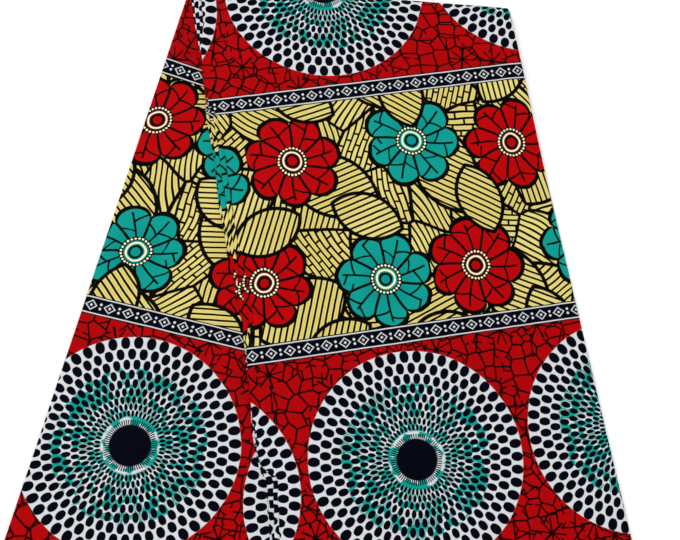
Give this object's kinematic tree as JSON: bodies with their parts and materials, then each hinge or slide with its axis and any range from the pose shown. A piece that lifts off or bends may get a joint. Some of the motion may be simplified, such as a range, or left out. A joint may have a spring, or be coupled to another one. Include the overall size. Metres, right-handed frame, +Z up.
{
  "type": "folded african wax print fabric",
  "caption": "Length of printed cotton folded to a flat strip and laid over itself once, its two legs spread as an upside-down V.",
  "frame": {"origin": "on the resting surface, under the middle of the bounding box", "axes": "+Z up from the surface the cloth lies on; +Y towards the fold that joins the legs; +X towards the end of the upper leg"},
  "size_m": [0.5954, 0.7136, 0.0123],
  "materials": {
    "printed_cotton": "plain-weave cotton with a wax-resist print and a slight wax sheen",
    "folded_layers": "stacked folded edges of the same printed cotton"
  },
  "bodies": {
    "root": {"upper_leg_cloth": "printed_cotton", "upper_leg_layers": "folded_layers", "top_fold_cloth": "printed_cotton", "top_fold_layers": "folded_layers", "lower_leg_cloth": "printed_cotton", "lower_leg_layers": "folded_layers"}
  },
  "joints": []
}
